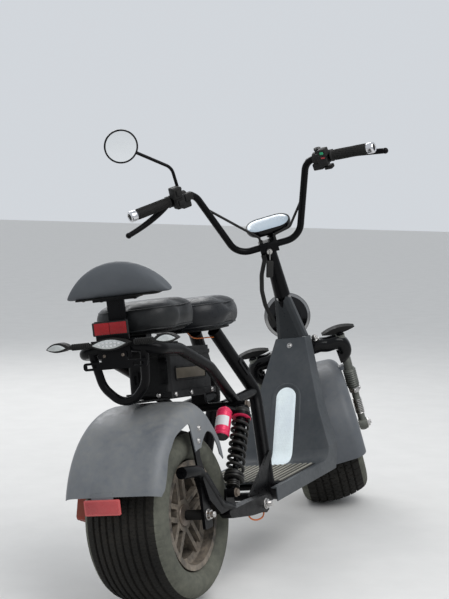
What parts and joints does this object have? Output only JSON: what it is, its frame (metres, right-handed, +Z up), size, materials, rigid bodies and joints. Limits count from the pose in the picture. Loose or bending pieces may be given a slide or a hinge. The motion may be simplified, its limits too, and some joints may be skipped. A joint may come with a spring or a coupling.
{
  "type": "electric scooter",
  "caption": "Step-through electric scooter with fat tyres, high handlebar, two round saddles, backrest and coil shocks, leaning on its side stand.",
  "frame": {"origin": "centre of the bounding box on the ground, with the scooter leaning on its side stand", "axes": "+X forward, +Y to the rider's left, +Z up"},
  "size_m": [1.7396, 0.7828, 1.238],
  "materials": {
    "paint_black": "gloss",
    "frame_black": "satin",
    "crackle_black": "satin",
    "tyre_black": "matte",
    "cast_black": "satin black",
    "motor_grey": "satin",
    "disc_steel": "brushed",
    "axle_steel": "satin",
    "alloy": "satin",
    "spring_black": "satin",
    "reservoir_red": "satin",
    "seat_leather": "satin",
    "rubber_black": "matte",
    "plastic_black": "satin",
    "caliper_red": "satin",
    "lamp_red": "gloss",
    "lamp_clear": "clear over a bright reflector",
    "lamp_glass": "clear",
    "display_glass": "dark",
    "mirror_silver": "polished"
  },
  "bodies": {
    "frame": {"main_frame": "frame_black", "rear_rack": "frame_black", "footboard_shroud": "paint_black", "floor_mats": "rubber_black", "head_cover": "paint_black", "battery_box": "crackle_black", "driver_saddle": "seat_leather", "passenger_saddle": "seat_leather", "backrest_pad": "seat_leather", "backrest_post": "frame_black", "reflectors": "lamp_red", "tail_light": "lamp_clear", "rear_indicators": "plastic_black", "plate_bracket": "frame_black", "swing_arm": "frame_black", "rear_axle": "axle_steel", "rear_fender": "paint_black", "shock_bodies": "frame_black", "shock_springs": "spring_black", "shock_reservoirs": "reservoir_red", "rear_caliper": "caliper_red"},
    "side_stand": {"side_stand": "frame_black"},
    "rear_wheel": {"rear_tyre": "tyre_black", "rear_rim": "cast_black", "hub_motor": "motor_grey", "rear_disc": "disc_steel"},
    "steering": {"steering_stem": "frame_black", "fork_crown": "frame_black", "fork_legs": "frame_black", "front_axle": "axle_steel", "front_fender": "paint_black", "front_caliper": "caliper_red", "front_indicators": "plastic_black", "headlight_bowl": "paint_black", "headlight_lens": "lamp_glass", "handlebar": "frame_black", "bar_clamp": "frame_black", "grips": "rubber_black", "bar_ends": "alloy", "brake_levers": "plastic_black", "switch_pods": "plastic_black", "mirror": "plastic_black", "mirror_glass": "mirror_silver", "display_pod": "plastic_black", "display_glass": "display_glass", "bar_cables": "rubber_black"},
    "front_wheel": {"front_tyre": "tyre_black", "front_rim": "cast_black", "front_disc": "disc_steel"}
  },
  "joints": [
    {"name": "rear_wheel", "type": "hinge", "parent": "frame", "child": "rear_wheel", "pos_m": [-0.61322, -0.08714, 0.22526], "axis": [0.0004, 0.9895, -0.1444], "continuous": true},
    {"name": "steering", "type": "hinge", "parent": "frame", "child": "steering", "pos_m": [0.44876, -0.03009, 0.61942], "axis": [-0.3838, 0.1335, 0.9137], "range_deg": [-49.2, 0]},
    {"name": "front_wheel", "type": "hinge", "parent": "steering", "child": "front_wheel", "pos_m": [0.64323, -0.07473, 0.22607], "axis": [-0.384, 0.8768, -0.2894], "continuous": true},
    {"name": "side_stand", "type": "hinge", "parent": "frame", "child": "side_stand", "pos_m": [0.02707, 0.04168, 0.12649], "axis": [-0.0017, 0.8204, 0.5718], "range_deg": [0, 100]}
  ]
}
